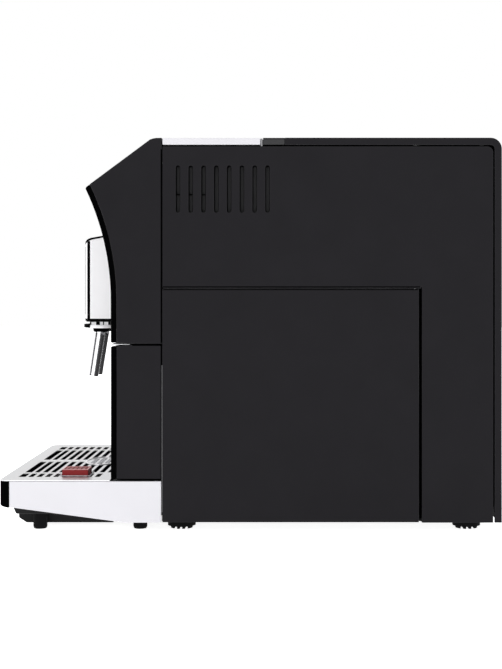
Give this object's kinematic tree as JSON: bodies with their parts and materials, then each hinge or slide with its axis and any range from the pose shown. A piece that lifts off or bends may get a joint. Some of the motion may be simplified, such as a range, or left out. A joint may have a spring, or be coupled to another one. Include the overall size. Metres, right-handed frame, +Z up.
{
  "type": "espresso machine",
  "caption": "Boxy bean-to-cup espresso machine with an adjustable spout over a pull-out drip drawer, a side service door, a lift-out water tank and working brew and grinder parts.",
  "frame": {"origin": "on the counter, under the middle of the body and within 3 mm of the middle of the bounding box", "axes": "+X to the service door side, -Y to the front where the cups stand, +Z up"},
  "size_m": [0.28, 0.4522, 0.3545],
  "materials": {
    "charcoal_plastic": "fine matte grain",
    "gloss_black": "polished",
    "black_plastic": "moulded, satin",
    "silver_plastic": "silver lacquer, satin",
    "stainless_steel": "brushed",
    "chrome": "polished",
    "red_plastic": "moulded, satin",
    "rubber": "matte",
    "smoke_plastic": "smoked, see-through",
    "grey_plastic": "moulded, satin",
    "cast_aluminium": "as cast",
    "white_plastic": "moulded, satin",
    "circuit_board": "printed circuit board",
    "silicone_hose": "silicone"
  },
  "bodies": {
    "housing": {"base_pan": "black_plastic", "side_panel_left": "charcoal_plastic", "side_panel_right": "charcoal_plastic", "door_hinge_rod": "stainless_steel", "rear_shell": "charcoal_plastic", "top_crossbar": "grey_plastic", "top_deck": "silver_plastic", "foot_front_left": "rubber", "foot_front_right": "rubber", "foot_rear_left": "rubber", "foot_rear_right": "rubber", "head_housing": "charcoal_plastic", "display_glass": "gloss_black", "front_fascia": "gloss_black", "spout_rail_left": "stainless_steel", "spout_rail_right": "stainless_steel", "lower_housing": "charcoal_plastic", "lower_fascia": "gloss_black", "tank_shelf": "black_plastic", "inner_frame": "grey_plastic", "brew_frame": "black_plastic", "brew_piston": "white_plastic", "brew_motor": "grey_plastic", "thermoblock": "cast_aluminium", "pump": "black_plastic", "power_board": "circuit_board", "grinder_body": "grey_plastic", "grinder_motor": "stainless_steel", "upper_burr": "stainless_steel", "bean_hopper": "smoke_plastic", "suction_hose": "silicone_hose", "pressure_hose": "silicone_hose", "brew_hose": "silicone_hose", "power_inlet": "black_plastic"},
    "door": {"service_door": "charcoal_plastic"},
    "hopper_lid": {"hopper_lid": "smoke_plastic"},
    "knob": {"grind_knob": "black_plastic"},
    "button": {"power_button": "silver_plastic"},
    "rocker": {"power_switch": "black_plastic"},
    "spout": {"spout_cover": "silver_plastic", "spout_carriage": "black_plastic", "spout_flange": "chrome", "nozzle_left": "chrome", "nozzle_right": "chrome"},
    "drawer": {"tray_trim": "silver_plastic", "tray_front_bar": "gloss_black", "tray_pan": "black_plastic", "tray_foot_front_left": "rubber", "tray_foot_front_right": "rubber", "tray_foot_rear_left": "rubber", "tray_foot_rear_right": "rubber", "drawer_front": "gloss_black", "grounds_container": "grey_plastic"},
    "grid": {"cup_grid": "stainless_steel"},
    "float": {"tray_float": "red_plastic"},
    "tank": {"water_tank": "smoke_plastic"},
    "tank_lid": {"tank_lid": "charcoal_plastic"},
    "chamber": {"brew_chamber": "white_plastic"},
    "screw": {"brew_screw": "stainless_steel"},
    "burr": {"lower_burr": "stainless_steel"}
  },
  "joints": [
    {"name": "door_hinge", "type": "hinge", "parent": "housing", "child": "door", "pos_m": [0.1353, 0.1502, 0.115], "axis": [0, 0, 1], "range_deg": [0, 100]},
    {"name": "hopper_lid_hinge", "type": "hinge", "parent": "housing", "child": "hopper_lid", "pos_m": [-0.02, 0.0035, 0.3522], "axis": [-1, 0, 0], "range_deg": [0, 95]},
    {"name": "tank_lift", "type": "slide", "parent": "housing", "child": "tank", "axis": [0, 0, 1], "range_m": [0, 0.26]},
    {"name": "tank_lid_hinge", "type": "hinge", "parent": "tank", "child": "tank_lid", "pos_m": [0, 0.21, 0.3523], "axis": [-1, 0, 0], "range_deg": [0, 95]},
    {"name": "drawer_slide", "type": "slide", "parent": "housing", "child": "drawer", "axis": [0, -1, 0], "range_m": [0, 0.2]},
    {"name": "grid_lift", "type": "slide", "parent": "drawer", "child": "grid", "axis": [0, 0, 1], "range_m": [0, 0.06]},
    {"name": "float_rise", "type": "slide", "parent": "drawer", "child": "float", "axis": [0, 0, 1], "range_m": [0, 0.009]},
    {"name": "spout_height", "type": "slide", "parent": "housing", "child": "spout", "axis": [0, 0, 1], "range_m": [0, 0.028]},
    {"name": "grind_adjust", "type": "hinge", "parent": "housing", "child": "knob", "pos_m": [0.11, -0.032, 0.3476], "axis": [0, 0, 1], "range_deg": [-120, 120]},
    {"name": "power_press", "type": "slide", "parent": "housing", "child": "button", "axis": [0, 0.596, -0.803], "range_m": [0, 0.0015], "stiffness_N_per_m": 500, "springref_m": -0.001},
    {"name": "mains_rocker", "type": "hinge", "parent": "housing", "child": "rocker", "pos_m": [-0.025, 0.2216, 0.045], "axis": [1, 0, 0], "range_deg": [0, 14]},
    {"name": "screw_turn", "type": "hinge", "parent": "housing", "child": "screw", "pos_m": [0.08, 0.098, 0.1105], "axis": [0, 0, 1], "range_deg": [0, 1621]},
    {"name": "chamber_lift", "type": "slide", "parent": "housing", "child": "chamber", "axis": [0, 0, 1], "range_m": [0, 0.045]},
    {"name": "burr_spin", "type": "hinge", "parent": "housing", "child": "burr", "pos_m": [-0.03, -0.032, 0.285], "axis": [0, 0, 1], "continuous": true}
  ],
  "couplings": [
    {"joint": "screw_turn", "follows": "chamber_lift", "rad_per_m": 628.32}
  ]
}
